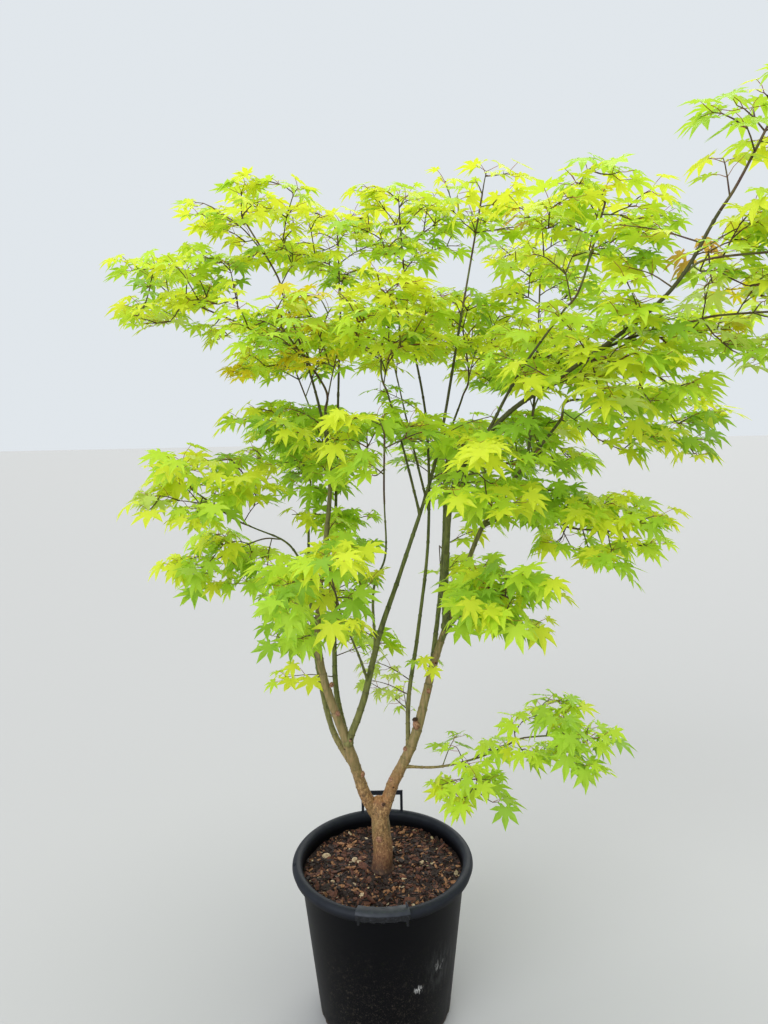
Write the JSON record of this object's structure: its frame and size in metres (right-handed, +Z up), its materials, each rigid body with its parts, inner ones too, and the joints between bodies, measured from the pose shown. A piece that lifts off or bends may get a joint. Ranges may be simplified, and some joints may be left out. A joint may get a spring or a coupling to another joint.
{
  "type": "potted japanese maple",
  "caption": "Multi-stemmed young maple with spreading tiers of palmate leaves, in a round black nursery container filled with bark mulch.",
  "frame": {"origin": "middle of the container's flat underside, on the ground", "axes": "+Z up along the trunk, -Y towards the side seen in front, +X to the right of that view"},
  "size_m": [1.4424, 1.1482, 1.9894],
  "materials": {
    "container": "satin moulded polypropylene",
    "mulch": "damp bark fines and chips over potting soil",
    "trunk_bark": "tan bark with fine upright cracks",
    "bough_bark": "smooth young bark, olive with tan streaks",
    "leaves": "thin matte leaves with light shining through"
  },
  "bodies": {
    "root": {"pot": "container", "soil": "mulch", "rear_handle": "container", "front_handle": "container", "trunk": "trunk_bark", "left_bough": "bough_bark", "right_bough": "bough_bark", "outer_left_stem": "bough_bark", "back_left_stem": "bough_bark", "front_left_stem": "bough_bark", "top_left_bough": "bough_bark", "left_side_bough": "bough_bark", "front_low_bough": "bough_bark", "front_mid_bough": "bough_bark", "front_centre_bough": "bough_bark", "long_bough": "bough_bark", "inner_right_stem": "bough_bark", "back_right_stem": "bough_bark", "right_low_bough": "bough_bark", "front_right_bough": "bough_bark", "low_branch": "bough_bark", "back_left_bough": "bough_bark", "back_right_bough": "bough_bark", "back_high_bough": "bough_bark", "right_high_bough": "bough_bark", "front_high_bough": "bough_bark", "far_right_bough": "bough_bark", "foliage_top_left": "leaves", "foliage_left_shoulder": "leaves", "foliage_top_back_left": "leaves", "foliage_left_front_upper": "leaves", "foliage_back_left_upper": "leaves", "foliage_top_centre": "leaves", "foliage_front_centre": "leaves", "foliage_umbrella": "leaves", "foliage_centre_back": "leaves", "foliage_back_upper": "leaves", "foliage_top_right_back": "leaves", "foliage_back_right_upper": "leaves", "foliage_top_right_front": "leaves", "foliage_right_centre": "leaves", "foliage_right_front": "leaves", "foliage_far_right_top": "leaves", "foliage_top_sprig": "leaves", "foliage_far_right": "leaves", "foliage_left_mid": "leaves", "foliage_left_low": "leaves", "foliage_left_mid_back": "leaves", "foliage_front_mid": "leaves", "foliage_front_right_mid": "leaves", "foliage_right_mid_back": "leaves", "foliage_right_low": "leaves", "foliage_right_mid_far": "leaves", "foliage_back_left_mid": "leaves", "foliage_back_right_mid": "leaves", "foliage_front_low": "leaves", "foliage_front_right_low": "leaves", "foliage_back_low": "leaves", "foliage_low_right": "leaves", "foliage_low_front": "leaves"}
  },
  "joints": []
}
